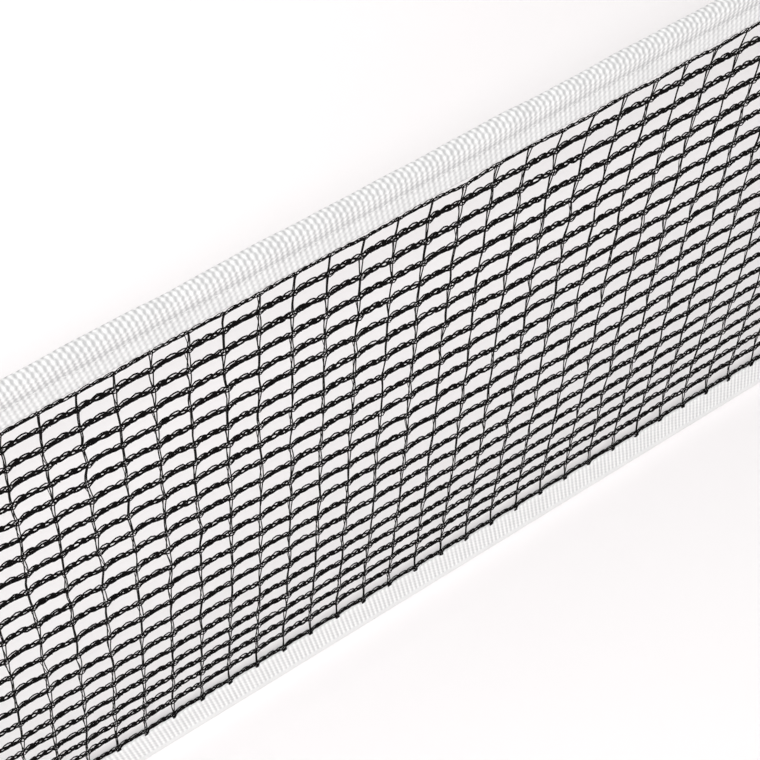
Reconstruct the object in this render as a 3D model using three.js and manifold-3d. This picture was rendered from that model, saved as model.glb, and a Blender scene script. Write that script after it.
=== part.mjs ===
// A table-tennis net: knitted netting between two folded tapes, hung on a cord that runs
// through the hem of the top tape, with a pocket for a post sewn to each end.
// Millimetres. X runs along the net, Y across it and Z up. The origin is on the playing
// surface, below the middle of the net.
import * as THREE from 'three';
import { mergeVertices } from 'three/addons/utils/BufferGeometryUtils.js';
import Module from 'manifold-3d';

const wasm = await Module();
wasm.setup();

// Driving dimensions of the whole net.
const NET_LENGTH = 1830;
const NET_HEIGHT = 152.5;
const GAP = 0.3;

// Netting: chain-stitched rows along the net, and threads that cross them.
const ROW_COUNT = 23;
const TOP_ROW_Z = 141.3;
const BOTTOM_ROW_Z = 12.1;
const ROW_PITCH = (TOP_ROW_Z - BOTTOM_ROW_Z) / (ROW_COUNT - 1);
const ROW_RADIUS = 0.4;
const TUCKED_ROW_RADIUS = 0.3;
const ROW_Y = -0.45;
const COLUMN_COUNT = 271;
const COLUMN_PITCH = 6.52;
const THREAD_WIDTH = 0.6;
const THREAD_DEPTH = 0.2;
const THREAD_Y = 0.35;
const SELVAGE_HEIGHT = 2.2;

// Tapes: each is one woven strip folded in two over an edge of the netting.
const PLY = 0.45;
const BAND_HALF = 1.2;
const HEM_HALF = 1.6;
const TOP_TAPE_EDGE_Z = 142.1;
const BOTTOM_TAPE_EDGE_Z = 11.4;
const BAND_HEIGHT = 5.4;
const FLARE_HEIGHT = 1;
const PRESSED_FOLD_HALF = 0.6;
const PRESSED_FOLD_HEIGHT = 0.9;
const TUCK = 2;

// Sewing thread: a straight line of stitches on each face.
const STITCH_WIDTH = 0.5;
const STITCH_DEPTH = 0.2;
const TOP_STITCH_Z = 146.9;
const BOTTOM_STITCH_Z = 8.9;

// Post pocket: a flattened tube of cloth with two flaps that hold the netting's end.
const POCKET_STRAIGHT_HALF = 4.5;
const POCKET_BORE_RADIUS = 4.5;
const POCKET_WALL = 0.7;
const POCKET_HEIGHT = 147;
const FLAP_LENGTH = 10;
const FLAP_PLY = 0.5;
const FLAP_SLOT_HALF = 1.15;
const FLAP_OVERLAP = 0.4;

// Suspension cord and the ferrules that close its end loops.
const CORD_RADIUS = 0.85;
const CORD_SIDES = 8;
const CORD_STEPS_PER_POINT = 2;
const FERRULE_WALL = 0.45;
const FERRULE_LENGTH = 8;
const LEG_OFFSET = 1;
const FERRULE_X = 924.5;

const CORD_Z = NET_HEIGHT - HEM_HALF;
const POCKET_RADIUS = POCKET_BORE_RADIUS + POCKET_WALL;
const POCKET_X = NET_LENGTH / 2 - POCKET_STRAIGHT_HALF - POCKET_RADIUS;
const POCKET_INNER_X = POCKET_X - POCKET_STRAIGHT_HALF - POCKET_RADIUS;
const TAPE_HALF_LENGTH = POCKET_INNER_X - GAP;
const ROW_HALF_LENGTH = POCKET_INNER_X - 2;
const FLAP_X = POCKET_INNER_X - FLAP_LENGTH;
const SIDES = [['left', -1], ['right', 1]];

// Turns a profile drawn as (across, up) and extruded forwards into one that runs along X.
const ALONG_X = new THREE.Quaternion(0.5, 0.5, 0.5, 0.5);

const materials = {
  netting: { color: 0x1d1a1b, roughness: 0.6 },
  tape: { color: 0xe9e9e8, roughness: 0.85 },
  thread: { color: 0xf3f3f2, roughness: 0.7 },
  pocket: { color: 0x232224, roughness: 0.8 },
  cord: { color: 0xe4e2dc, roughness: 0.75 },
  ferrule: { color: 0xb9bcc0, roughness: 0.35, metalness: 1 },
};

const net = new THREE.Group();

function addMesh(name, geometry, finish, parent = net) {
  const material = new THREE.MeshStandardMaterial({ metalness: 0, ...materials[finish] });
  const mesh = new THREE.Mesh(geometry, material);
  mesh.name = name;
  parent.add(mesh);
  return mesh;
}

// Extrudes a profile along X, centred on the middle of the net.
function addProfile(name, shape, length, finish) {
  const geometry = new THREE.ExtrudeGeometry(shape, {
    depth: length,
    bevelEnabled: false,
    curveSegments: 8,
  });
  geometry.translate(0, 0, -length / 2);
  const mesh = addMesh(name, geometry, finish);
  mesh.quaternion.copy(ALONG_X);
  return mesh;
}

function toSolid(geometry) {
  const plain = geometry.clone();
  plain.deleteAttribute('normal');
  plain.deleteAttribute('uv');
  const merged = mergeVertices(plain, 1e-4);
  const mesh = new wasm.Mesh({
    numProp: 3,
    vertProperties: new Float32Array(merged.attributes.position.array),
    triVerts: new Uint32Array(merged.index.array),
  });
  return new wasm.Manifold(mesh);
}

function toGeometry(solid) {
  const mesh = solid.getMesh();
  const geometry = new THREE.BufferGeometry();
  geometry.setAttribute('position', new THREE.BufferAttribute(mesh.vertProperties, 3));
  geometry.setIndex(new THREE.BufferAttribute(mesh.triVerts, 1));
  return geometry;
}

// ---- Netting ----

function rowZ(index) {
  return TOP_ROW_Z - index * ROW_PITCH;
}

function addRows() {
  for (let i = 0; i < ROW_COUNT; i += 1) {
    const radius = i === 0 ? TUCKED_ROW_RADIUS : ROW_RADIUS;
    const bar = new THREE.CylinderGeometry(radius, radius, 2 * ROW_HALF_LENGTH, 8);
    const name = `chain_row_${String(i + 1).padStart(2, '0')}`;
    const row = addMesh(name, bar, 'netting');
    row.rotation.z = -Math.PI / 2;
    row.position.set(0, ROW_Y, rowZ(i));
  }
}

// The cross threads hang from the selvage that is sewn into the top tape, as a comb.
function addCrossThreads() {
  const top = TOP_TAPE_EDGE_Z + SELVAGE_HEIGHT;
  const selvage = TOP_TAPE_EDGE_Z + GAP;
  const bottom = BOTTOM_TAPE_EDGE_Z - TUCK;
  const half = THREAD_WIDTH / 2;
  const comb = new THREE.Shape();
  const firstX = (-(COLUMN_COUNT - 1) / 2) * COLUMN_PITCH;
  comb.moveTo(firstX - half, top);
  for (let i = 0; i < COLUMN_COUNT; i += 1) {
    const x = firstX + i * COLUMN_PITCH;
    if (i > 0) comb.lineTo(x - half, selvage);
    comb.lineTo(x - half, bottom);
    comb.lineTo(x + half, bottom);
    if (i < COLUMN_COUNT - 1) comb.lineTo(x + half, selvage);
  }
  comb.lineTo(-firstX + half, top);
  const geometry = new THREE.ExtrudeGeometry(comb, { depth: THREAD_DEPTH, bevelEnabled: false });
  const threads = addMesh('cross_threads', geometry, 'netting');
  threads.rotation.x = Math.PI / 2;
  threads.position.y = THREAD_Y + THREAD_DEPTH / 2;
}

// ---- Tapes ----

// A tape folded over a tunnel for the cord, and pressed flat below it where it is sewn.
function topTapeSection() {
  const edge = TOP_TAPE_EDGE_Z;
  const band = edge + BAND_HEIGHT;
  const flare = band + FLARE_HEIGHT;
  const bandInside = BAND_HALF - PLY;
  const hemInside = HEM_HALF - PLY;
  const shape = new THREE.Shape();
  shape.moveTo(-BAND_HALF, edge);
  shape.lineTo(-BAND_HALF, band);
  shape.lineTo(-HEM_HALF, flare);
  shape.lineTo(-HEM_HALF, CORD_Z);
  shape.absarc(0, CORD_Z, HEM_HALF, Math.PI, 0, true);
  shape.lineTo(HEM_HALF, flare);
  shape.lineTo(BAND_HALF, band);
  shape.lineTo(BAND_HALF, edge);
  shape.lineTo(bandInside, edge);
  shape.lineTo(bandInside, band);
  shape.lineTo(hemInside, flare);
  shape.lineTo(hemInside, CORD_Z);
  shape.absarc(0, CORD_Z, hemInside, 0, Math.PI, false);
  shape.lineTo(-hemInside, flare);
  shape.lineTo(-bandInside, band);
  shape.lineTo(-bandInside, edge);
  shape.closePath();
  return shape;
}

// A tape folded under the netting, with its fold pressed flat along the table.
function bottomTapeSection() {
  const inside = BAND_HALF - PLY;
  const shape = new THREE.Shape();
  shape.moveTo(-BAND_HALF, BOTTOM_TAPE_EDGE_Z);
  shape.lineTo(-BAND_HALF, PRESSED_FOLD_HEIGHT);
  shape.lineTo(-PRESSED_FOLD_HALF, 0);
  shape.lineTo(PRESSED_FOLD_HALF, 0);
  shape.lineTo(BAND_HALF, PRESSED_FOLD_HEIGHT);
  shape.lineTo(BAND_HALF, BOTTOM_TAPE_EDGE_Z);
  shape.lineTo(inside, BOTTOM_TAPE_EDGE_Z);
  shape.lineTo(inside, PRESSED_FOLD_HEIGHT);
  shape.lineTo(-inside, PRESSED_FOLD_HEIGHT);
  shape.lineTo(-inside, BOTTOM_TAPE_EDGE_Z);
  shape.closePath();
  return shape;
}

function addTapes() {
  addProfile('top_tape', topTapeSection(), 2 * TAPE_HALF_LENGTH, 'tape');
  addProfile('bottom_tape', bottomTapeSection(), 2 * TAPE_HALF_LENGTH, 'tape');
}

// ---- Sewing ----

function addStitchLine(name, size, position) {
  const line = addMesh(name, new THREE.BoxGeometry(...size), 'thread');
  line.position.set(...position);
}

function addStitching() {
  const faces = [['front', -1], ['back', 1]];
  const seams = [['top', TOP_STITCH_Z], ['bottom', BOTTOM_STITCH_Z]];
  const tapeSize = [2 * TAPE_HALF_LENGTH - 4, STITCH_DEPTH, STITCH_WIDTH];
  const flapBottom = BOTTOM_TAPE_EDGE_Z + GAP;
  const flapTop = TOP_TAPE_EDGE_Z - GAP;
  const flapSize = [STITCH_WIDTH, STITCH_DEPTH, flapTop - flapBottom - 2];
  const flapMiddle = (flapTop + flapBottom) / 2;
  for (const [face, toFace] of faces) {
    const tapeY = toFace * (BAND_HALF + GAP + STITCH_DEPTH / 2);
    for (const [edge, z] of seams) {
      addStitchLine(`${edge}_stitching_${face}`, tapeSize, [0, tapeY, z]);
    }
    const flapY = toFace * (FLAP_SLOT_HALF + FLAP_PLY + GAP + STITCH_DEPTH / 2);
    for (const [side, toSide] of SIDES) {
      const x = toSide * (FLAP_X + FLAP_LENGTH / 2);
      addStitchLine(`${side}_pocket_stitching_${face}`, flapSize, [x, flapY, flapMiddle]);
    }
  }
}

// ---- Post pockets ----

function addStadium(path, radius) {
  path.absarc(POCKET_STRAIGHT_HALF, 0, radius, -Math.PI / 2, Math.PI / 2, false);
  path.absarc(-POCKET_STRAIGHT_HALF, 0, radius, Math.PI / 2, 1.5 * Math.PI, false);
  path.closePath();
  return path;
}

function pocketGeometry(toSide) {
  const ring = addStadium(new THREE.Shape(), POCKET_RADIUS);
  ring.holes.push(addStadium(new THREE.Path(), POCKET_BORE_RADIUS));
  const tube = new THREE.ExtrudeGeometry(ring, {
    depth: POCKET_HEIGHT,
    bevelEnabled: false,
    curveSegments: 10,
  });
  tube.translate(toSide * POCKET_X, 0, 0);
  const flapBottom = BOTTOM_TAPE_EDGE_Z + GAP;
  const flapTop = TOP_TAPE_EDGE_Z - GAP;
  const flapY = FLAP_SLOT_HALF + FLAP_PLY / 2;
  let pocket = toSolid(tube);
  for (const toFace of [-1, 1]) {
    const flap = new THREE.BoxGeometry(FLAP_LENGTH + FLAP_OVERLAP, FLAP_PLY, flapTop - flapBottom);
    const flapX = toSide * (FLAP_X + (FLAP_LENGTH + FLAP_OVERLAP) / 2);
    flap.translate(flapX, toFace * flapY, (flapTop + flapBottom) / 2);
    pocket = pocket.add(toSolid(flap));
  }
  return toGeometry(pocket);
}

function addPockets() {
  for (const [side, toSide] of SIDES) {
    addMesh(`${side}_post_pocket`, pocketGeometry(toSide), 'pocket');
  }
}

// ---- Suspension cord ----

// A smooth route that is stepped evenly from point to point, so that its tight loops get
// as many steps as its long straight run.
class CordRoute extends THREE.CatmullRomCurve3 {
  getPointAt(u, target) {
    return this.getPoint(u, target);
  }

  getTangentAt(u, target) {
    return this.getTangent(u, target);
  }
}

// The right-hand end of the cord's route, as distances along and across the net.
const CORD_END = [
  [905, 0],
  [914, 0],
  [919.5, -LEG_OFFSET],
  [FERRULE_X, -LEG_OFFSET],
  [929.5, -LEG_OFFSET],
  [934, -2.6],
  [939, -3.4],
  [943.4, -2.4],
  [945.2, 0],
  [943.4, 2.4],
  [939, 3.4],
  [934, 2.6],
  [929.5, LEG_OFFSET],
  [FERRULE_X, LEG_OFFSET],
  [919.5, LEG_OFFSET],
];

function addCord() {
  const rightEnd = CORD_END.map(([x, y]) => new THREE.Vector3(x, y, CORD_Z));
  const leftEnd = CORD_END.map(([x, y]) => new THREE.Vector3(-x, y, CORD_Z)).reverse();
  const route = new CordRoute([...leftEnd, ...rightEnd], false, 'centripetal');
  const section = new THREE.Shape();
  section.absarc(0, 0, CORD_RADIUS, 0, 2 * Math.PI, false);
  const geometry = new THREE.ExtrudeGeometry(section, {
    steps: CORD_STEPS_PER_POINT * (route.points.length - 1),
    curveSegments: CORD_SIDES,
    extrudePath: route,
  });
  addMesh('suspension_cord', geometry, 'cord');
}

function addFerrules() {
  const oval = (path, radius) => {
    path.absarc(LEG_OFFSET, 0, radius, -Math.PI / 2, Math.PI / 2, false);
    path.absarc(-LEG_OFFSET, 0, radius, Math.PI / 2, 1.5 * Math.PI, false);
    path.closePath();
    return path;
  };
  const inner = CORD_RADIUS + GAP;
  const section = oval(new THREE.Shape(), inner + FERRULE_WALL);
  section.holes.push(oval(new THREE.Path(), inner));
  for (const [side, toSide] of SIDES) {
    const ferrule = addProfile(`${side}_ferrule`, section, FERRULE_LENGTH, 'ferrule');
    ferrule.position.set(toSide * FERRULE_X, 0, CORD_Z);
  }
}

addRows();
addCrossThreads();
addTapes();
addStitching();
addPockets();
addCord();
addFerrules();

export default net;
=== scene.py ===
"""The looks of a table-tennis net. The net is worked out in millimetres and made in metres:
X runs along it, Y across it and Z up from the table that it stands on."""

import math

import bpy
import numpy as np
from mathutils import Matrix, Vector


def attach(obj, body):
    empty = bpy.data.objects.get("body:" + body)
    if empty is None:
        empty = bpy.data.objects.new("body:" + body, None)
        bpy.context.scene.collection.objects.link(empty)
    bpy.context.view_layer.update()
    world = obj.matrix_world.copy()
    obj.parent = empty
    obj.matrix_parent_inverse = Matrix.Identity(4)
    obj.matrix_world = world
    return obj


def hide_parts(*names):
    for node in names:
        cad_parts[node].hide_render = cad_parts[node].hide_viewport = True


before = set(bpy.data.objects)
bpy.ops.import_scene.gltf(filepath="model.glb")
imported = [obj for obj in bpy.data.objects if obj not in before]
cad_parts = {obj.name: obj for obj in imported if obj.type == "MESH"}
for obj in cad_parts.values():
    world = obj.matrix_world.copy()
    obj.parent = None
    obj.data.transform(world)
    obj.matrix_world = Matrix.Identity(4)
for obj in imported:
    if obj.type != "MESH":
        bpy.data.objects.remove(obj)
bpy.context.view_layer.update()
rng = np.random.default_rng(20260)
MM = 0.001

# ---- Camera, lights and floor ----

# The camera looks down and to the right at the middle of the net. EYE is in millimetres from the
# net's origin, and LENS and SENSOR in millimetres of the camera.
AZIMUTH, ELEVATION, ROLL = (math.radians(a) for a in (39.854, 56.902, 5.327))
EYE = (-148.77, -162.61, 419.20)
LENS, SENSOR = 105.754, 36.0
SKY = 0.80
NET_MIDDLE = Vector((0, 0, 0.08))
KEY_AWAY = 0.85
POOL_AT, POOL_AIM = Vector((-0.05, 0.45, 0.60)), Vector((-0.05, 0.29, 0))
FLOOR_SIZE, FLOOR_DROP = 14, 0.00005


def camera_axes():
    """The camera's right, up and backward directions."""
    forward = Vector((math.sin(AZIMUTH) * math.cos(ELEVATION),
                      math.cos(AZIMUTH) * math.cos(ELEVATION), -math.sin(ELEVATION)))
    right = Vector((math.cos(AZIMUTH), -math.sin(AZIMUTH), 0))
    up = right.cross(forward)
    x = math.cos(ROLL) * right + math.sin(ROLL) * up
    y = math.cos(ROLL) * up - math.sin(ROLL) * right
    return x, y, -forward


def make_camera():
    """The scene's camera, with no shift and no depth of field."""
    data = bpy.data.cameras.new("camera")
    data.sensor_width, data.lens = SENSOR, LENS
    data.clip_start, data.clip_end = 0.01, 50
    camera = bpy.data.objects.new("camera", data)
    bpy.context.collection.objects.link(camera)
    x, y, z = camera_axes()
    place = Matrix((x, y, z)).transposed().to_4x4()
    place.translation = Vector(EYE) * MM
    camera.matrix_world = place
    bpy.context.scene.camera = camera


def make_lamp(name, kind, at, to, power):
    """A lamp at one place, turned to another. Gives its data, for the rest of its settings."""
    data = bpy.data.lights.new(name, kind)
    data.energy = power
    lamp = bpy.data.objects.new(name, data)
    bpy.context.collection.objects.link(lamp)
    lamp.location = at
    lamp.rotation_euler = (to - Vector(at)).to_track_quat("-Z", "Y").to_euler()
    return data


def make_studio():
    """A soft sky, a small key lamp by the camera, a raking lamp from the left, and a spot that
    whitens the floor behind the net."""
    world = bpy.data.worlds.new("studio")
    bpy.context.scene.world = world
    world.use_nodes = True
    sky = world.node_tree.nodes["Background"]
    sky.inputs["Color"].default_value = (1.0, 0.995, 0.99, 1)
    sky.inputs["Strength"].default_value = SKY
    x, y, z = camera_axes()
    key_at = NET_MIDDLE + KEY_AWAY * z + 0.005 * x - 0.01 * y
    key = make_lamp("key", "AREA", key_at, NET_MIDDLE, 3.1)
    key.shape, key.size = "DISK", 0.12
    rake = make_lamp("rake", "AREA", (-1.3, -0.35, 0.75), NET_MIDDLE, 2.0)
    rake.shape, rake.size = "DISK", 0.5
    pool = make_lamp("background", "SPOT", POOL_AT, POOL_AIM, 2.6)
    pool.spot_size, pool.spot_blend, pool.shadow_soft_size = math.radians(56), 1.0, 0.05

    bpy.ops.mesh.primitive_plane_add(size=FLOOR_SIZE, location=(0, 0, -FLOOR_DROP))
    floor = bpy.context.object
    floor.name = "floor"
    floor.data.materials.append(floor_material())
    view = bpy.context.scene.view_settings
    view.view_transform, view.look = "Standard", "None"


# ---- Materials ----

class Nodes:
    """A material's nodes, made one line at a time."""

    def __init__(self, name):
        self.material = bpy.data.materials.new(name)
        self.material.use_nodes = True
        self.tree = self.material.node_tree
        self.shader = self.tree.nodes["Principled BSDF"]

    def set(self, **sockets):
        """Set the shader's sockets, and give the finished material."""
        for name, value in sockets.items():
            self.link(value, self.shader.inputs[name.replace("_", " ")])
        return self.material

    def link(self, value, socket):
        if isinstance(value, bpy.types.NodeSocket):
            self.tree.links.new(value, socket)
        elif isinstance(value, tuple) and len(value) == 3 and socket.type == "RGBA":
            socket.default_value = (*value, 1)
        else:
            socket.default_value = value

    def add(self, kind, output=0, inputs=(), **settings):
        """A new node's output, with its first inputs filled in order."""
        node = self.tree.nodes.new(kind)
        for name, value in settings.items():
            setattr(node, name, value)
        for i, value in enumerate(inputs):
            if value is not None:
                self.link(value, node.inputs[i])
        return node.outputs[output]

    def math(self, operation, *values, clamp=False):
        return self.add("ShaderNodeMath", 0, values, operation=operation, use_clamp=clamp)

    def uv(self, name):
        """A map, and its two parts."""
        flat = self.add("ShaderNodeUVMap", uv_map=name)
        split = self.tree.nodes.new("ShaderNodeSeparateXYZ")
        self.link(flat, split.inputs[0])
        return flat, split.outputs[0], split.outputs[1]

    def place(self):
        """Where a point is on its object."""
        return self.add("ShaderNodeTexCoord", output=3)

    def noise(self, at, scale, detail=2.0, rough=0.5, stretch=None):
        if stretch is not None:
            at = self.add("ShaderNodeVectorMath", 0, (at, stretch), operation="MULTIPLY")
        node = self.tree.nodes.new("ShaderNodeTexNoise")
        self.link(at, node.inputs["Vector"])
        node.inputs["Scale"].default_value = scale
        node.inputs["Detail"].default_value = detail
        node.inputs["Roughness"].default_value = rough
        return node.outputs[0]

    def mix(self, share, low, high):
        node = self.tree.nodes.new("ShaderNodeMix")
        node.data_type = "RGBA"
        self.link(share, node.inputs[0])
        self.link(low, node.inputs[6])
        self.link(high, node.inputs[7])
        return node.outputs[2]

    def spread(self, value, low, high, to_low=0.0, to_high=1.0):
        """The value, stretched from low..high to to_low..to_high and held inside them."""
        node = self.tree.nodes.new("ShaderNodeMapRange")
        for i, v in enumerate((value, low, high, to_low, to_high)):
            self.link(v, node.inputs[i])
        return node.outputs[0]

    def bump(self, height, distance, strength=1.0):
        node = self.tree.nodes.new("ShaderNodeBump")
        node.inputs["Strength"].default_value = strength
        node.inputs["Distance"].default_value = distance
        self.link(height, node.inputs["Height"])
        return node.outputs[0]


def floor_material():
    """A plain pale floor with a faintly uneven gloss."""
    n = Nodes("pale_floor")
    speck = n.noise(n.place(), 60, 3)
    return n.set(Base_Color=(0.92, 0.895, 0.90), Specular_IOR_Level=0.2,
                 Roughness=n.spread(speck, 0.3, 0.7, 0.55, 0.65))


def yarn_material(name, colour, shine, sheen):
    """Yarn or thread, with fine fibres in its surface."""
    n = Nodes(name)
    fibres = n.noise(n.place(), 9000, 2, 0.6, (1.0, 1.0, 0.6))
    return n.set(Base_Color=colour, Roughness=0.6, Specular_IOR_Level=shine,
                 Sheen_Weight=sheen, Sheen_Roughness=0.4,
                 Normal=n.bump(fibres, 0.00003, 0.7))


def tape_material(name, groove_shade, crest, knuckle, brick, band, seam_at, plain, fold_shade):
    """White woven ribs, coloured from a groove colour to a crest colour: the groove colour is
    painted shade for the grooves and for the gaps between raised threads, and the crest colour is
    the tape's own white. The strip's map has u along the net, counted in ribs, and v across the
    unfolded strip, in millimetres from its middle fold. Each rib is a row of raised threads,
    knuckle millimetres long and half a step on from the next rib's. brick is how deep the gaps
    between them are and how far they bridge the grooves. The ribs are shallower further than band
    from the fold, and there are none nearer to it than plain, where plain isn't 0. A line of
    painted shade follows the seam at seam_at, and fold_shade paints shade on a line beside the
    fold."""
    n = Nodes(name)
    flat, rib, across = n.uv("strip")
    turn = n.math("MULTIPLY", rib, 2 * math.pi)
    ridge = n.math("MULTIPLY_ADD", n.math("COSINE", turn), -0.5, 0.5)
    odd = n.math("MODULO", n.math("ABSOLUTE", n.math("FLOOR", rib)), 2.0)
    pick = n.math("ADD", n.math("DIVIDE", across, knuckle), n.math("MULTIPLY", odd, 0.5))
    wander = n.noise(flat, 1.3, 2, 0.5, (1.0, 0.7, 1.0))
    pick = n.math("MULTIPLY_ADD", wander, 0.6, pick)
    pick = n.math("MULTIPLY_ADD", n.math("FRACT", rib), -0.3, pick)
    bead = n.math("MULTIPLY_ADD", n.math("COSINE", n.math("MULTIPLY", pick, 2 * math.pi)), 0.5, 0.5)
    far = n.math("ABSOLUTE", across)
    in_hem = n.spread(far, band - 0.8, band + 0.8, 1.0, 0.0)
    gap = n.math("MULTIPLY", n.math("SUBTRACT", 1.0, bead), 0.5 * brick)
    bridge = n.math("MULTIPLY", bead, 0.5 * brick)
    rise = n.math("SUBTRACT", n.math("SUBTRACT", 1.0, gap), bridge)
    weave = n.math("MULTIPLY_ADD", ridge, rise, bridge)
    ribbed = n.math("MULTIPLY_ADD", in_hem, 0.4, 0.6)
    if plain:
        ribbed = n.math("MULTIPLY", ribbed, n.spread(far, plain - 0.35, plain + 0.35))
    weave = n.math("MULTIPLY_ADD", n.math("SUBTRACT", weave, 0.45), ribbed, 0.45)
    seam = n.math("ABSOLUTE", n.math("SUBTRACT", far, seam_at))
    ribbed = n.math("MULTIPLY_ADD", n.spread(seam, 0.0, 1.2, 1.0, 0.0), 0.25, ribbed)
    fine = n.noise(flat, 2.2, 3, 0.7, (0.7, 1.3, 1.0))
    patch = n.noise(flat, 0.22, 3, 0.6, (1.0, 0.9, 1.0))
    height = n.math("MULTIPLY_ADD", fine, 0.35, weave)
    shade = n.math("MULTIPLY_ADD", n.math("SUBTRACT", fine, 0.5), 0.5, weave)
    shade = n.math("MULTIPLY_ADD", n.math("SUBTRACT", patch, 0.5), 0.35, shade)
    shade = n.math("MULTIPLY_ADD", n.math("SUBTRACT", 1.0, ribbed), 0.05, shade)
    # Painted shade: a darker line along the seam's valley.
    shade = n.math("SUBTRACT", shade, n.spread(seam, 0.3, 1.3, 0.28, 0.0))
    brow = n.math("ABSOLUTE", n.math("ADD", across, 0.8))
    shade = n.math("SUBTRACT", shade, n.spread(brow, 0.3, 1.4, fold_shade, 0.0))
    # The groove colour is painted shade in the grooves and gaps; the crest colour is the tape's own
    # white.
    return n.set(Base_Color=n.mix(shade, groove_shade, crest), Specular_IOR_Level=0.3,
                 Sheen_Weight=0.15, Sheen_Roughness=0.5,
                 Roughness=n.spread(weave, 0, 1, 0.85, 0.6), Normal=n.bump(height, 0.00012, 0.8))


def cloth_material(name, dark, light, thread=0.5):
    """Plain-woven cloth, with u and v of its map in millimetres. Its colour is darker in the gaps
    between threads and lighter on their tops as painted shade, with fibre fuzz and wear mixed in.
    """
    n = Nodes(name)
    flat, u, v = n.uv("cloth")
    u, v = n.math("DIVIDE", u, thread), n.math("DIVIDE", v, thread)
    over = n.math("MODULO", n.math("ADD", n.math("FLOOR", u), n.math("FLOOR", v)), 2.0)
    over = n.math("ABSOLUTE", over)
    a = n.math("SINE", n.math("MULTIPLY", n.math("FRACT", u), math.pi))
    b = n.math("SINE", n.math("MULTIPLY", n.math("FRACT", v), math.pi))
    warp = n.math("MULTIPLY", over, n.math("MULTIPLY", a, n.math("POWER", b, 0.4)))
    weft = n.math("MULTIPLY", n.math("SUBTRACT", 1.0, over),
                  n.math("MULTIPLY", b, n.math("POWER", a, 0.4)))
    weave = n.math("ADD", warp, weft)
    fuzz = n.noise(flat, 7.0, 3, 0.7)
    worn = n.noise(flat, 0.12, 4, 0.6)
    # shade is painted shade between the threads, plus fibre fuzz and wear.
    shade = n.math("ADD", n.math("MULTIPLY", weave, 0.7), n.math("MULTIPLY", fuzz, 0.3))
    shade = n.spread(n.math("ADD", shade, n.math("MULTIPLY", worn, 0.4)), 0.2, 1.3)
    return n.set(Base_Color=n.mix(shade, dark, light), Specular_IOR_Level=0.3,
                 Sheen_Weight=0.25, Sheen_Roughness=0.5,
                 Roughness=n.spread(weave, 0, 1, 0.9, 0.65), Normal=n.bump(shade, 0.00012, 0.7))


def metal_material():
    """Aluminium, drawn along the net and scuffed."""
    n = Nodes("crimped_aluminium")
    place = n.place()
    brushed = n.noise(place, 900, 3, 0.6, (0.12, 1.0, 1.0))
    scuffs = n.noise(place, 260, 4, 0.7)
    wear = n.spread(scuffs, 0.45, 0.7)
    colour = n.mix(wear, (0.62, 0.63, 0.65), (0.42, 0.42, 0.43))
    rough = n.math("ADD", n.spread(brushed, 0.3, 0.7, 0.22, 0.4), n.math("MULTIPLY", wear, 0.15))
    return n.set(Base_Color=colour, Metallic=1.0, Roughness=rough,
                 Normal=n.bump(brushed, 0.00003, 0.35))


# ---- Meshes ----

def make_piece(name, parts, material, body, nodes, uv=None, uv_name=""):
    """parts are (points in millimetres, faces of four corners or three); a face of three has its
    last corner twice."""
    points, faces, base = [], [], 0
    for part_points, part_faces in parts:
        points.append(part_points.reshape(-1, 3))
        faces.append(part_faces.reshape(-1, 4) + base)
        base += len(points[-1])
    points = np.concatenate(points) * MM
    faces = np.concatenate(faces)
    whole = faces[:, 2] != faces[:, 3]
    corners = np.where(whole, 4, 3)
    starts = np.concatenate([[0], np.cumsum(corners)[:-1]])
    keep = np.ones(faces.shape, bool)
    keep[~whole, 3] = False
    mesh = bpy.data.meshes.new(name)
    mesh.vertices.add(len(points))
    mesh.vertices.foreach_set("co", points.astype(np.float32).ravel())
    mesh.loops.add(int(corners.sum()))
    mesh.loops.foreach_set("vertex_index", faces[keep].astype(np.int32))
    mesh.polygons.add(len(faces))
    mesh.polygons.foreach_set("loop_start", starts.astype(np.int32))
    mesh.polygons.foreach_set("use_smooth", np.ones(len(faces), bool))
    if uv is not None:
        layer = mesh.uv_layers.new(name=uv_name)
        layer.data.foreach_set("uv", uv[keep].astype(np.float32).ravel())
    mesh.update(calc_edges=True)
    mesh.materials.append(material)
    piece = bpy.data.objects.new(name, mesh)
    bpy.context.collection.objects.link(piece)
    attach(piece, body)
    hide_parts(*nodes)
    return piece


def tubes(lines, radii, sides, closed=False):
    """Round tubes along many lines at once: lines is (count, points, 3), in millimetres. A tube
    has flat ends, or it joins its own start where closed."""
    lines = np.asarray(lines, float)
    count, steps, _ = lines.shape
    radii = np.broadcast_to(np.asarray(radii, float), (count, steps))
    if closed:
        along = np.roll(lines, -1, 1) - np.roll(lines, 1, 1)
    else:
        along = np.gradient(lines, axis=1)
    along /= np.linalg.norm(along, axis=2, keepdims=True) + 1e-12
    side = np.cross(along, (0.0, 1.0, 0.0))
    side /= np.linalg.norm(side, axis=2, keepdims=True) + 1e-12
    over = np.cross(side, along)
    turn = np.arange(sides) * 2 * math.pi / sides + math.pi / sides
    ring = (np.cos(turn)[:, None] * side[:, :, None] + np.sin(turn)[:, None] * over[:, :, None])
    points = lines[:, :, None] + ring * radii[:, :, None, None]
    index = np.arange(count * steps * sides).reshape(count, steps, sides)
    a = index if closed else index[:, :-1]
    b = np.roll(index, -1, 1) if closed else index[:, 1:]
    quads = np.stack([a, np.roll(a, -1, 2), np.roll(b, -1, 2), b], -1).reshape(-1, 4)
    if closed:
        return points, quads
    ends = []
    for ring_index, flip in ((index[:, 0], True), (index[:, -1], False)):
        order = ring_index[:, ::-1] if flip else ring_index
        if sides == 3:
            ends.append(np.concatenate([order, order[:, -1:]], 1))
        else:
            for i in range(0, sides - 2, 2):
                last = min(i + 3, sides - 1)
                ends.append(np.stack([order[:, 0], order[:, i + 1], order[:, i + 2],
                                      order[:, last]], 1))
    return points, np.concatenate([quads, *ends])


# ---- The netting's shape ----

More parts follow.
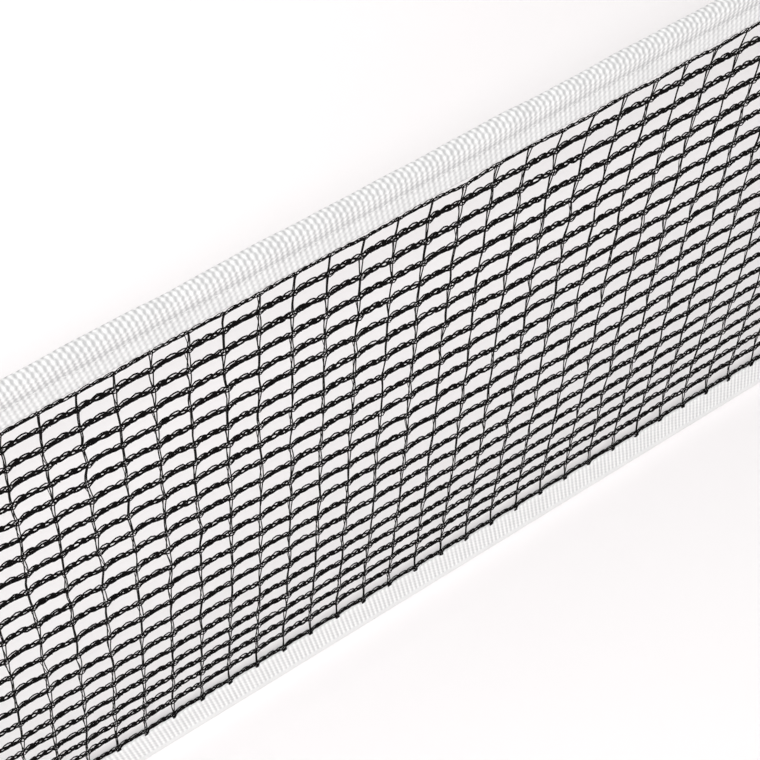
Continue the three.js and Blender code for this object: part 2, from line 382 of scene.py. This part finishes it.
# Rows run along the net and columns of threads cross them. A cell is the mesh between two
# columns, and STITCHES is how many stitches of a row it has.
ROWS, PITCH_X = 23, 6.52
HALF_CELLS = 136
CELLS = 2 * HALF_CELLS
TOP_Z, PITCH_Z = 141.36, 5.877
STITCHES = 3
INNER_COLUMNS = np.arange(-HALF_CELLS + 1, HALF_CELLS)

# How the hung netting waves, in millimetres. A set of three is a mean and the two parts of a wave
# of SLOW_LENGTH. ONCE is a swell with one hump from tape to tape, and TWICE one with two.
SLOW_LENGTH, SAG_LENGTH, BOW_LENGTH = 240, 400, 260
RISE_ONCE, RISE_TWICE = (-0.48, -0.73, -0.16), (-0.03, -0.09, 0.15)
LEAN, LEAN_TWICE = (0.63, -0.17, 0.13), (-0.39, 0, -0.22)
BOW, BOW_CHANGE = 0.23, 0.95
# How far rows crowd together towards the bottom, in rows, how much that changes along the net,
# and how it is shared out over the height.
SAG, SAG_CHANGE, SAG_POWER = 0.26, 0.12, 1.318
# How far out of place a knot is along the net and up, how far knots step aside in turn, and how
# the first and last rows lie: the first is rougher and lower, and the last is higher.
ERROR_X, ERROR_Z, ZIGZAG = 0.16, 0.13, 0.10
FIRST_ROW_ERROR, FIRST_ROW_DROP, LAST_ROW_LIFT = 0.30, 0.33, 0.42

columns = np.arange(-HALF_CELLS, HALF_CELLS + 1)
rows = np.arange(ROWS)


def wave(x, length, shift=0.0):
    """A sine wave of that length, shifted by a share of it."""
    return np.sin(2 * math.pi * (x / length + shift))


def slow(x, mean, even_part, odd_part):
    """A slow wave along the net."""
    return mean + even_part * wave(x, SLOW_LENGTH, 0.25) + odd_part * wave(x, SLOW_LENGTH)


def knot_places():
    """Where each column of threads crosses each row: the netting hangs in slow waves, and each
    knot is a little out of place."""
    x = np.repeat((columns * PITCH_X)[:, None], ROWS, 1)
    down = rows / (ROWS - 1)
    sag = SAG - SAG_CHANGE * wave(x, SAG_LENGTH)
    z = TOP_Z - PITCH_Z * (rows - sag * np.sin(2 * math.pi * down**SAG_POWER))
    once, twice = np.sin(math.pi * down), np.sin(2 * math.pi * down)
    z = z + once * slow(x, *RISE_ONCE) + twice * slow(x, *RISE_TWICE)
    bow = BOW - BOW_CHANGE * wave(x, BOW_LENGTH)
    loose = np.sin(math.pi * down) ** 0.5
    jitter = rng.normal(size=(2, len(columns), ROWS))
    lean = slow(x, *LEAN) + twice * slow(x, *LEAN_TWICE)
    x = x + bow * once + lean + ERROR_X * loose * jitter[0]
    x = x + ZIGZAG * loose * np.where((rows + columns[:, None]) % 2, 1, -1)
    z = z + ERROR_Z * loose * jitter[1]
    z[:, 0] += FIRST_ROW_ERROR * jitter[1, :, 0] - FIRST_ROW_DROP
    z[:, -1] += LAST_ROW_LIFT
    return x, z


# How far back each row's line lies, how thick its yarn is, and how high each mesh's stretch of
# it bows. The first row is tucked at the top tape, and the last lies on the bottom tape.
knot_x, knot_z = knot_places()
row_y = np.full(ROWS, -0.05)
row_y[0], row_y[-1] = -0.5, -0.6
row_scale = np.ones(ROWS)
row_scale[0], row_scale[-1] = 0.62, 0.86
hump = rng.uniform(0.45, 0.85, (CELLS, ROWS)) * np.sin(math.pi * (rows + 0.15) / ROWS) ** 0.35
hump[:, 0] = 0.08
hump[:, -1] += 0.25


def row_point(k, c):
    """The place on row k at c, which counts the cells from the net's middle."""
    t = np.clip(c + HALF_CELLS, 0, CELLS - 1e-6)
    j = t.astype(int)
    f = t - j
    x = knot_x[j, k] * (1 - f) + knot_x[j + 1, k] * f
    z = knot_z[j, k] * (1 - f) + knot_z[j + 1, k] * f
    return x, z + hump[j, k] * np.sin(math.pi * f**0.72)


def on_row(k, c, w, y):
    """Points beside row k: w is up from its line, and y is away from the front of the net."""
    step = 0.06
    x, z = row_point(k, c)
    x0, z0 = row_point(k, c - step)
    x1, z1 = row_point(k, c + step)
    slope = np.arctan2(z1 - z0, x1 - x0)
    back = np.broadcast_to(row_y[k] + y, x.shape)
    return np.stack([x - w * np.sin(slope), back, z + w * np.cos(slope)], -1)


# One stitch: how far along it, up from the row and back from the front each point is.
LOOP = np.array([
    (-0.26, -0.16, -0.14), (0.02, 0.10, 0.06), (0.30, 0.29, 0.22), (0.62, 0.38, 0.30),
    (0.94, 0.34, 0.24), (1.16, 0.12, 0.06), (1.00, -0.10, -0.10), (0.64, -0.26, -0.20),
    (0.30, -0.32, -0.22), (0.00, -0.24, -0.18),
])
# Unit steps across the line of sight and along it, as (up, back), for strands that lie side by
# side.
OVER, ALONG = np.array([(0.447, 0.894), (0.894, -0.447)])


def at_column(c):
    """1 at a column, and 0 away from it."""
    return np.exp(-(((c - np.round(c)) * PITCH_X / 0.6) ** 2))


def row_loops(k):
    """The loop of each stitch in a row."""
    count = CELLS * STITCHES
    first = np.arange(count) / STITCHES - HALF_CELLS
    size = rng.uniform(0.85, 1.15, (count, 1))
    lean = rng.normal(0, 0.05, (count, 1))
    s = LOOP[:, 0] + rng.normal(0, 0.04, (count, 1)) + lean * LOOP[:, 1]
    size = size * row_scale[k]
    w = LOOP[:, 1] * size + rng.normal(0, 0.025, (count, len(LOOP)))
    y = LOOP[:, 2] * size + rng.normal(0, 0.025, (count, len(LOOP)))
    c = np.clip(first[:, None] + s / STITCHES, -HALF_CELLS, HALF_CELLS)
    radius = np.interp(np.arange(len(LOOP)), (0, 2, 5, 9), (0.14, 0.125, 0.15, 0.15))
    radius = radius * row_scale[k] * (1 - 0.45 * at_column(c))
    return tubes(on_row(k, c, w, y), radius, 4)


def row_strands(k):
    """Two strands that change places at each stitch, and part round a small eye between
    stitches."""
    steps_per_stitch = 5
    samples = CELLS * STITCHES * steps_per_stitch + 1
    smoothing = np.ones(9) / 9
    c = np.linspace(-HALF_CELLS, HALF_CELLS, samples)
    turn = math.pi * STITCHES * c + np.convolve(rng.normal(0, 1.0, samples), smoothing, "same")
    part = 0.24 + np.convolve(rng.normal(0, 0.12, samples), smoothing, "same")
    near = at_column(c)
    part += 0.19 * near
    parts = []
    for shift, radius in ((0, 0.19), (math.pi, 0.165)):
        over = np.cos(turn + shift)
        over = np.sign(over) * np.abs(over) ** 0.6 * part
        back = np.sin(turn + shift) * 0.16
        w = -0.12 + over * OVER[0] + back * ALONG[0]
        y = -0.07 + over * OVER[1] + back * ALONG[1]
        swell = (1 + 0.10 * np.cos(2 * turn + math.pi)) * (1 - 0.4 * near)
        line = on_row(k, c, w * row_scale[k], y * row_scale[k])[None]
        parts.append(tubes(line, (radius * row_scale[k] * swell)[None], 4))
    return parts


def row_knots(k):
    """The rings of yarn round each crossing, and the thick wrap just right of it."""
    j = INNER_COLUMNS
    parts = []
    turn = np.arange(7) * 2 * math.pi / 7
    for at, up, size in ((-0.38, 0.12, 0.33), (0.40, -0.24, 0.31)):
        centre = rng.normal(0, 0.04, (2, len(j), 1)) + np.array([[[at]], [[up]]])
        r = size * rng.uniform(0.85, 1.2, (len(j), 1))
        c = j[:, None] + (centre[0] + r * np.cos(turn)) / PITCH_X
        w = centre[1] + r * np.sin(turn)
        y = 0.04 + 0.10 * np.sin(2 * turn)
        parts.append(tubes(on_row(k, c, w, y), 0.075, 3, closed=True))
    samples = 8
    wrap = np.linspace(0, 1, samples)
    c = j[:, None] + (0.72 + 0.85 * wrap + rng.normal(0, 0.08, (len(j), 1))) / PITCH_X
    w = -0.14 + 0.27 * np.cos(4 * math.pi * wrap) + rng.normal(0, 0.02, (len(j), samples))
    y = -0.09 + 0.27 * np.sin(4 * math.pi * wrap) + rng.normal(0, 0.02, (len(j), samples))
    parts.append(tubes(on_row(k, c, w * row_scale[k], y * row_scale[k]), 0.16 * row_scale[k], 4))
    return parts


def row_ends(k):
    """The ends of the column threads, turned down over the front of the bottom tape."""
    j = INNER_COLUMNS
    path = np.array([(0.25, -0.1, -0.25), (0.1, -0.5, -0.5), (-0.1, -0.95, -0.52),
                     (-0.35, -1.15, -0.42), (-0.42, -0.85, -0.55), (-0.2, -0.4, -0.5),
                     (0.0, 0.0, -0.2)])
    shape = path + rng.normal(0, 0.07, (len(j), *path.shape))
    size = rng.uniform(0.35, 0.85, (len(j), 1))
    c = j[:, None] + shape[..., 0] / PITCH_X
    return tubes(on_row(k, c, shape[..., 1] * size, shape[..., 2]), 0.17, 4)


def make_rows(material):
    """The rows of netting, from the top tape down."""
    for k in range(ROWS):
        name = f"chain_row_{k + 1:02d}"
        parts = [row_loops(k), *row_strands(k), *row_knots(k)]
        if k == ROWS - 1:
            parts.append(row_ends(k))
        make_piece(f"netting_row_{k + 1:02d}", parts, material, "net", [name])


def make_cross_threads(material):
    """Two threads close together and a thin third one, from each crossing to the one below. The
    net's length is split among a few pieces."""
    lengths = 5
    steps = np.linspace(0, 1, 5)
    groups = np.array_split(np.arange(1, CELLS), lengths)
    for g, group in enumerate(groups):
        parts = []
        for k in range(ROWS - 1):
            top = np.stack([knot_x[group, k], np.full(len(group), row_y[k] + 0.12),
                            knot_z[group, k]], -1)
            low = np.stack([knot_x[group, k + 1], np.full(len(group), row_y[k + 1] + 0.12),
                            knot_z[group, k + 1]], -1)
            style = rng.random(len(group))
            apart = np.where(style < 0.35, 0.36, np.where(style < 0.6, 0.09, 0.13))
            below = np.where(style < 0.35, 0.09, np.where(style < 0.6, 0.34, 0.13))
            thin = np.where(style < 0.6, -0.55, 0.3)
            bend = rng.normal(0, 0.10, (len(group), 1))
            for i, (radius, at_top, at_low) in enumerate((
                    (0.125, -apart, -below), (0.12, apart, below), (0.075, thin, -0.3 * thin))):
                start = at_top + rng.normal(0, 0.06, len(group))
                end = at_low + rng.normal(0, 0.06, len(group))
                a = top + np.stack([start, 0 * start, 0 * start - 0.30], -1)
                b = low + np.stack([end, 0 * end, 0 * end + 0.30], -1)
                line = a[:, None] * (1 - steps[:, None]) + b[:, None] * steps[:, None]
                line[:, :, 0] += (bend + rng.normal(0, 0.04, bend.shape)) * np.sin(math.pi * steps)
                line[:, :, 1] += 0.06 * (i - 1)
                parts.append(tubes(line, radius, 3))
        make_piece(f"netting_threads_{g + 1}", parts, material, "net",
                   ["cross_threads"])


# ---- Tapes ----

# The height of the cord's middle line, which the top tape is folded round.
CORD_Z = 150.9
# The ribs' spacing, half the tapes' length, the thickness of one layer, how far the bottom tape
# is without ribs on each side of its fold, and the length of a stitch in the tapes.
RIB = 1.0
TAPE_HALF = 895.2
PLY = 0.4
PLAIN = 2.9
TAPE_STITCH = 2.6
TOP_SEAM_Z, BOTTOM_SEAM_Z = 146.9, 8.9


def arc(y, z, radius, start, stop, steps):
    """Points on a round bend, between two angles in degrees."""
    turn = np.radians(np.linspace(start, stop, steps))
    return [(y + radius * math.cos(t), z + radius * math.sin(t)) for t in turn]


def even(path, count):
    """The path again, as count points evenly along it, and how far along each is."""
    path = np.array(path, float)
    along = np.concatenate([[0], np.cumsum(np.linalg.norm(np.diff(path, axis=0), axis=1))])
    at = np.linspace(0, along[-1], count)
    return np.stack([np.interp(at, along, path[:, i]) for i in (0, 1)], -1), at


def beside(path, distance):
    """A line beside an open path, that distance to the right of the way along it."""
    way = np.gradient(path, axis=0)
    way /= np.linalg.norm(way, axis=1, keepdims=True)
    return path + distance * np.stack([way[:, 1], -way[:, 0]], -1)


def make_tape(name, node, outer, inner, skew, shape, material):
    """A strip folded along the net, from the section of its outside and of its inside. Its ribs
    are in the mesh: the grid's lines follow them, and they cross the strip a little askew.
    shape(x, middle, crest) is how far out the surface stands, at a distance from the fold."""
    outer, inner = np.array(outer), np.array(inner)
    v = np.concatenate([[0], np.cumsum(np.linalg.norm(np.diff(outer, axis=0), axis=1))])
    middle = v - v[-1] / 2
    ribs = np.arange(-int(TAPE_HALF / RIB), int(TAPE_HALF / RIB) + 0.25, 0.5)
    square = (ribs / ribs[-1] * TAPE_HALF)[:, None]
    x = square - skew * middle * (1 - np.abs(square / TAPE_HALF) ** 60)
    normal = beside(outer, -1.0) - outer
    push = shape(x, middle, np.where(np.arange(len(ribs)) % 2, 1, -1)[:, None])
    y = outer[None, :, 0] + push * normal[None, :, 0]
    z = outer[None, :, 1] + push * normal[None, :, 1]
    skin = np.stack([x, y, z], -1)
    lining_x = np.broadcast_to(square, (len(ribs), len(inner)))
    lining = np.stack([lining_x, np.broadcast_to(inner[:, 0], lining_x.shape),
                       np.broadcast_to(inner[:, 1], lining_x.shape)], -1)
    ring = np.concatenate([skin, lining[:, ::-1]], 1)
    around = ring.shape[1]
    index = np.arange(ring.shape[0] * around).reshape(ring.shape[0], around)
    a, b = index[:-1], index[1:]
    quads = np.stack([a, b, np.roll(b, -1, 1), np.roll(a, -1, 1)], -1).reshape(-1, 4)
    n, m = len(outer), len(inner)
    across = np.concatenate([middle, np.linspace(middle[-1], middle[0], m)])
    along = np.broadcast_to(ribs[:, None], index.shape)
    place = np.stack([along, np.broadcast_to(across, index.shape)], -1).reshape(-1, 2)
    caps = []
    share = np.round(np.interp(np.arange(n), (0, n - 1), (0, m - 1))).astype(int)
    for line, flip in ((index[0], False), (index[-1], True)):
        skin_edge, lining_edge = line[:n], line[n:][::-1]
        for i in range(n - 1):
            face = [skin_edge[i], skin_edge[i + 1], lining_edge[share[i + 1]],
                    lining_edge[share[i]]]
            caps.append(face if not flip else [face[1], face[0], face[3], face[2]])
    faces = np.concatenate([quads, np.array(caps)])
    piece = make_piece(name, [(ring, faces)], material, "net", [node], place[faces],
                       "strip")


def mirrored(front, fold):
    """A path up the front, round the fold and down the back."""
    return front + fold + [(-y, z) for y, z in front[::-1]]


def pucker(x):
    """How hard each stitch pulls the tape in: 1 at a stitch's middle and 0 between stitches."""
    return 0.5 + 0.5 * np.cos(2 * math.pi * x / TAPE_STITCH)


def length_of(path):
    """How long a path is from end to end."""
    return float(np.linalg.norm(np.diff(np.array(path), axis=0), axis=1).sum())


def make_top_tape():
    """The strip that is folded over the cord, sewn below it, and closed on the netting."""
    half, tall = 1.3, 1.45
    turn = np.radians(np.linspace(182, -2, 8))
    fold = [(half * math.cos(t), CORD_Z + tall * math.sin(t)) for t in turn]
    front = [(-0.72, 142.15), (-0.73, 142.6), (-0.79, 145.4), (-0.80, TOP_SEAM_Z), (-0.90, 147.8),
             (-1.23, 149.7)]
    inside = [((half - PLY) * math.cos(t), CORD_Z + (tall - PLY) * math.sin(t))
              for t in np.radians((182, 90, -2))]
    top_outer = mirrored(front, fold)
    top_inner = mirrored([(-0.34, 142.15), (-0.36, 147.4)], inside)
    length = length_of(top_outer)

    def top_shape(x, middle, crest):
        away = length / 2 - np.abs(middle)
        in_hem = np.clip((away - 5.2) / 2, 0, 1)
        bulge = 0.06 * wave(x, 37, 0.2) + 0.05 * wave(x, 23.7) + 0.03 * wave(x, 11.3, 0.6)
        seam = np.exp(-(((away - 4.75) / 0.7) ** 2))
        pull = seam * (0.05 + 0.05 * pucker(x))
        return in_hem * bulge - pull + crest * (0.018 + 0.010 * in_hem)

    # The groove colour is painted shade between the ribs; the crest colour is the tape's white.
    material = tape_material("ribbed_tape", groove_shade=(0.49, 0.49, 0.495), crest=(0.95, 0.95, 0.945),
                             knuckle=1.3, brick=0.75, band=7.0, seam_at=5.5, plain=0,
                             fold_shade=0.2)
    make_tape("top_tape_strip", "top_tape", top_outer, top_inner, 0.21, top_shape, material)


def make_bottom_tape():
    """The strip that is folded under the netting. Its back edge is a little lower than its
    front one."""
    front = [(-0.80, 11.6), (-0.84, 9.9), (-0.86, BOTTOM_SEAM_Z), (-0.92, 5.5), (-0.97, 3.0),
             (-1.02, 1.0), (-1.0, 0.45), (-0.86, 0.14)]
    bottom_outer = mirrored(front, [(-0.5, 0.02), (0.0, 0.0), (0.5, 0.02)])
    bottom_outer[-1] = (0.80, 10.9)
    bottom_inner = mirrored([(-0.38, 11.6), (-0.5, 2.0), (-0.45, 0.6)], [])
    bottom_inner[-1] = (0.38, 10.9)

    def bottom_shape(x, middle, crest):
        height = np.clip(np.abs(middle) - 1.4, 0, None)
        body = np.clip((11 - height) / 4, 0, 1) * np.clip(height / 3, 0, 1)
        bulge = 0.05 * wave(x, 31) + 0.04 * wave(x, 17.3, 0.3)
        seam = np.exp(-(((height - 8.6) / 0.6) ** 2))
        pull = seam * (0.04 + 0.05 * pucker(x))
        ribbed = np.clip((np.abs(middle) - PLAIN) / 0.5 + 0.5, 0, 1)
        return body * bulge - pull + crest * 0.03 * ribbed

    # This strip gets no painted seam shade, so seam_at lies past its edges.
    # The groove colour is painted shade between the ribs; the crest colour is the tape's white.
    material = tape_material("ribbed_bottom_tape", groove_shade=(0.61, 0.61, 0.615),
                             crest=(0.98, 0.98, 0.975), knuckle=1.4, brick=0.4, band=9.9,
                             seam_at=30.0, plain=PLAIN, fold_shade=0.0)
    make_tape("bottom_tape_strip", "bottom_tape", bottom_outer, bottom_inner, -0.2,
              bottom_shape, material)


# ---- Sewing ----

def make_stitches(name, node, start, stop, length, place, radius, material):
    """A line of stitches: each dips into the cloth at its ends and lies a little askew.
    place(s, out, lean) gives the points for a distance along the seam, a distance out from the
    cloth and a distance to the side of the seam."""
    count = int(round((stop - start) / length))
    t = np.linspace(0, 1, 6)
    s = start + (np.arange(count)[:, None] + 0.06 + 0.88 * t) * (stop - start) / count
    out = 0.12 * np.sin(math.pi * t) ** 0.6 - 0.12
    lean = 0.1 * (t - 0.5) + rng.normal(0, 0.05, (count, 1))
    swell = radius * (0.75 + 0.25 * np.sin(math.pi * t))
    line = place(s, np.broadcast_to(out, s.shape), lean)
    make_piece(name, [tubes(line, swell[None], 4)], material, "net", [node])


FACES = (("front", -1), ("back", 1))
SEAM_END = 893


def make_sewing(material):
    """The seam on each face of both tapes. It wanders a little up and down."""
    for edge, z, half in (("top", TOP_SEAM_Z, 0.72), ("bottom", BOTTOM_SEAM_Z, 0.81)):
        for face, toward in FACES:
            def place(s, out, lean, z=z, half=half, toward=toward):
                height = z + lean + 0.12 * wave(s, 31) + 0.1 * wave(s, 13.1)
                return np.stack([s, toward * (half + out), height], -1)
            make_stitches(f"stitches_{edge}_{face}", f"{edge}_stitching_{face}", -SEAM_END,
                          SEAM_END, TAPE_STITCH, place, 0.10, material)


# ---- Post pockets ----

# The flaps lie between the two tapes, and the tunnel stands from the table to POCKET_TOP.
SIDES = (("left", -1), ("right", 1))
POCKET_TOP = 147.0
FLAP_LOW, FLAP_HIGH = 11.9, 141.6
FLAP_END_X, FLAP_SEAM_X = 895.3, 890.6
CLOTH = 0.62


def pocket_section(toward):
    """The folded cloth seen from above: a flap, round the post's tunnel, and the other flap."""
    near = [(885.8, 1.42), (FLAP_SEAM_X, 1.36), (894.6, 1.42), (896.6, 2.2), (898.6, 3.8)]
    path = [(x, -y) for x, y in near] + [(900.8, -4.8), (905.3, -4.9)]
    path += arc(909.8, 0, 4.82, -90, 90, 13)
    path += [(905.3, 4.9), (900.8, 4.8)] + [(x, y) for x, y in near[::-1]]
    path, along = even(path, 101)
    path[:, 0] *= toward
    return path, along


def make_pocket(side, toward, material):
    """One pocket's cloth: slack in slow waves, drawn in at its ends and at its flaps' seam. push
    is how far a point moves into the tunnel, or towards the netting on a flap."""
    path, along = pocket_section(toward)
    heights = np.concatenate([np.linspace(0, FLAP_LOW, 9), np.linspace(FLAP_LOW, FLAP_HIGH, 66)[1:],
                              np.linspace(FLAP_HIGH, POCKET_TOP, 5)[1:]])
    flap = np.abs(path[:, 0]) < FLAP_END_X
    into = beside(path, -toward) - path
    s, z = np.meshgrid(along, heights)
    edge = np.exp(-((z / 5.5) ** 6)) + np.exp(-(((POCKET_TOP - z) / 5.5) ** 6))
    slack = 0.16 * wave(z, 71, 0.1) * wave(s, 33, 0.2) + 0.10 * wave(z, 29, 0.5) * wave(s, 21)
    slack = slack + 0.06 * wave(z, 13.7) * wave(s, 47, 0.4)
    free = np.where(flap, 0.25, 1.0)[None]
    push = free * slack + 0.18 * edge * (1 - flap[None])
    seam = np.exp(-(((np.abs(path[:, 0]) - FLAP_SEAM_X) / 0.7) ** 2))
    push = push + 0.15 * seam[None] * flap[None]
    x = path[None, :, 0] + push * into[None, :, 0]
    y = path[None, :, 1] + push * into[None, :, 1]
    grid = np.stack([x, y, z], -1)
    index = np.arange(grid.shape[0] * grid.shape[1]).reshape(grid.shape[:2])
    quads = np.stack([index[:-1, :-1], index[:-1, 1:], index[1:, 1:], index[1:, :-1]], -1)
    low, high = heights[:-1, None], heights[1:, None]
    whole = ~(flap[:-1] | flap[1:])[None] | ((low >= FLAP_LOW - 1e-6) & (high <= FLAP_HIGH + 1e-6))
    if toward < 0:
        quads = quads[..., ::-1]
    quads = quads[whole]
    used, faces = np.unique(quads, return_inverse=True)
    points = grid.reshape(-1, 3)[used]
    uv = np.stack([s, z], -1).reshape(-1, 2)[used][faces.reshape(-1, 4)]
    piece = make_piece(f"{side}_pocket_cloth", [(points, faces)], material, "net",
                       [f"{side}_post_pocket"], uv, "cloth")
    solid = piece.modifiers.new("cloth", "SOLIDIFY")
    solid.thickness, solid.offset = CLOTH * MM, 0
    solid.use_even_offset = True
    smooth = piece.modifiers.new("smooth", "SUBSURF")
    smooth.levels = smooth.render_levels = 1


def make_pockets(cloth, sewing):
    """The two pockets, and a seam down each face of their flaps."""
    for side, toward in SIDES:
        for face, out_way in FACES:
            def place(s, out, lean, toward=toward, out_way=out_way):
                x = toward * (FLAP_SEAM_X + lean)
                return np.stack([x + 0 * s, out_way * (1.64 + out), s], -1)
            make_stitches(f"stitches_{side}_pocket_{face}", f"{side}_pocket_stitching_{face}",
                          13.5, 140.0, 2.5, place, 0.16, sewing)
        make_pocket(side, toward, cloth)


# ---- Suspension cord and ferrules ----

# LEG is how far each leg of an end loop lies from the middle line where the sleeve holds it.
CORD_RADIUS = 0.85
BRAID_TURN = 4.4
LEG = 1.0
SLEEVE_X = 924.5
CORD_END = ((905, 0), (914, 0), (919.5, -LEG), (924.5, -LEG), (929.5, -LEG), (934, -2.6),
            (939, -3.4), (943.4, -2.4), (945.2, 0), (943.4, 2.4), (939, 3.4), (934, 2.6),
            (929.5, LEG), (924.5, LEG), (919.5, LEG))


def smooth_path(points, steps):
    """A centripetal Catmull-Rom curve through the points."""
    p = np.array(points, float)
    p = np.concatenate([[2 * p[0] - p[1]], p, [2 * p[-1] - p[-2]]])
    out = []
    for a, b, c, d in zip(p[:-3], p[1:-2], p[2:-1], p[3:], strict=True):
        t1 = np.linalg.norm(b - a) ** 0.5
        t2 = t1 + np.linalg.norm(c - b) ** 0.5
        t3 = t2 + np.linalg.norm(d - c) ** 0.5
        t = np.linspace(t1, t2, steps, endpoint=False)[:, None]
        ab = (a * (t1 - t) + b * t) / t1
        bc = (b * (t2 - t) + c * (t - t1)) / (t2 - t1)
        cd = (c * (t3 - t) + d * (t - t2)) / (t3 - t2)
        abc = (ab * (t2 - t) + bc * t) / t2
        bcd = (bc * (t3 - t) + cd * (t - t1)) / (t3 - t1)
        out.append((abc * (t2 - t) + bcd * (t - t1)) / (t2 - t1))
    return np.concatenate([*out, p[-2:-1]])


def make_cord(material):
    """A braided cord: strands that wind both ways round it, raised where they lie on top."""
    end = smooth_path(CORD_END, 22)
    lead_x = np.arange(888, 905, 0.4)
    lead = np.stack([lead_x, np.zeros(len(lead_x))], -1)
    right = np.concatenate([lead, end])
    straight = np.stack([np.linspace(-886, 886, 300), np.zeros(300)], -1)
    left = right[::-1] * (-1, 1)
    line = np.concatenate([left, straight, right])
    line = np.column_stack([line, np.full(len(line), CORD_Z)])
    along = np.gradient(line, axis=0)
    along /= np.linalg.norm(along, axis=1, keepdims=True)
    far = np.concatenate([[0], np.cumsum(np.linalg.norm(np.diff(line, axis=0), axis=1))])
    up = np.array((0.0, 0.0, 1.0))
    side = np.cross(along, up)
    sides = 24
    turn = np.arange(sides) * 2 * math.pi / sides
    twist = 2 * math.pi * far[:, None] / BRAID_TURN
    one, two = np.cos(4 * turn + 2 * twist), np.cos(4 * turn - 2 * twist)
    braid = np.maximum(one, two) - 0.35
    fine = np.abs(line[:, 0]) > 887.5
    radius = CORD_RADIUS * (0.97 + 0.045 * braid * fine[:, None])
    tip = np.minimum(far, far[-1] - far)[:, None]
    radius = radius * np.sqrt(np.clip(tip / 0.5 + 0.25, 0, 1))
    ring = np.cos(turn)[:, None] * side[:, None] + np.sin(turn)[:, None] * up
    points = line[:, None] + ring * radius[..., None]
    index = np.arange(points.size // 3).reshape(len(line), sides)
    a, b = index[:-1], index[1:]
    quads = np.stack([a, b, np.roll(b, -1, 1), np.roll(a, -1, 1)], -1).reshape(-1, 4)
    caps = []
    for order in (index[0], index[-1][::-1]):
        for i in range(1, sides - 1, 2):
            caps.append([order[0], order[i], order[i + 1], order[min(i + 2, sides - 1)]])
    faces = np.concatenate([quads, np.array(caps)])
    u = np.broadcast_to(far[:, None], index.shape).reshape(-1)
    uv = np.stack([u, np.broadcast_to(turn / (2 * math.pi), index.shape).reshape(-1)], -1)[faces]
    make_piece("suspension_cord_braid", [(points, faces)], material, "cord",
               ["suspension_cord"], uv, "cord")


def make_ferrules(material):
    """Oval sleeves, each pressed on to the two legs of the cord in two places."""
    around, inner = 40, 0.96
    turn = np.arange(around) * 2 * math.pi / around
    s = np.array([-4, -3.95, -3.8, -3.3, -2.6, -2.1, -1.7, -1.3, -0.6, 0, 0.6, 1.3, 1.7, 2.1, 2.6,
                  3.3, 3.8, 3.95, 4])
    crimp = np.exp(-(((np.abs(s) - 1.7) / 0.55) ** 4))
    outer = 1.46 - 0.2 * crimp - 0.12 * np.clip((np.abs(s) - 3.75) / 0.25, 0, 1)
    for side, toward in SIDES:
        rings = []
        for at, radius in [*zip(s, outer, strict=True), (4, inner), (-4, inner)]:
            y, z = np.cos(turn) * radius, np.sin(turn) * radius
            y = y + LEG * np.clip(np.cos(turn) * 3, -1, 1)
            x = np.full(around, toward * SLEEVE_X + at)
            rings.append(np.stack([x, y, CORD_Z + z], -1))
        points = np.array(rings)
        index = np.arange(points.size // 3).reshape(len(rings), around)
        a, b = index, np.roll(index, -1, 0)
        quads = np.stack([a, np.roll(a, -1, 1), np.roll(b, -1, 1), b], -1).reshape(-1, 4)
        piece = make_piece(f"{side}_cord_sleeve", [(points, quads)], material,
                           "cord", [f"{side}_ferrule"])
        smooth = piece.modifiers.new("smooth", "SUBSURF")
        smooth.levels = smooth.render_levels = 1


def cord_material():
    """A braid that follows the raised strands of the cord's mesh. Its colour is painted darker
    between the strands as shade, with fine fibres in it.
    """
    n = Nodes("braided_cord")
    flat, along, round_it = n.uv("cord")
    turn = n.math("MULTIPLY", round_it, 8 * math.pi)
    twist = n.math("MULTIPLY", along, 4 * math.pi / BRAID_TURN)
    one = n.math("COSINE", n.math("ADD", turn, twist))
    two = n.math("COSINE", n.math("SUBTRACT", turn, twist))
    braid = n.math("MAXIMUM", one, two)
    fibres = n.noise(n.place(), 5000, 2, 0.6)
    shade = n.math("ADD", n.math("MULTIPLY", braid, 0.6), n.math("MULTIPLY", fibres, 0.4))
    # Painted shade between the braid's strands, with fibre noise.
    colour = n.mix(n.spread(shade, -0.1, 0.9), (0.50, 0.48, 0.44), (0.82, 0.80, 0.75))
    return n.set(Base_Color=colour, Roughness=n.spread(shade, 0, 1, 0.85, 0.6),
                 Specular_IOR_Level=0.3, Sheen_Weight=0.15, Normal=n.bump(shade, 0.00006, 0.6))


make_camera()
make_studio()
netting = yarn_material("black_netting_yarn", (0.0028, 0.0021, 0.0022), 0.08, 0.0)
sewing = yarn_material("white_sewing_thread", (0.76, 0.76, 0.755), 0.3, 0.2)
make_rows(netting)
make_cross_threads(netting)
make_sewing(sewing)
make_cord(cord_material())
make_ferrules(metal_material())
make_top_tape()
make_bottom_tape()
make_pockets(cloth_material("pocket_cloth", (0.008, 0.008, 0.009), (0.05, 0.05, 0.053)), sewing)
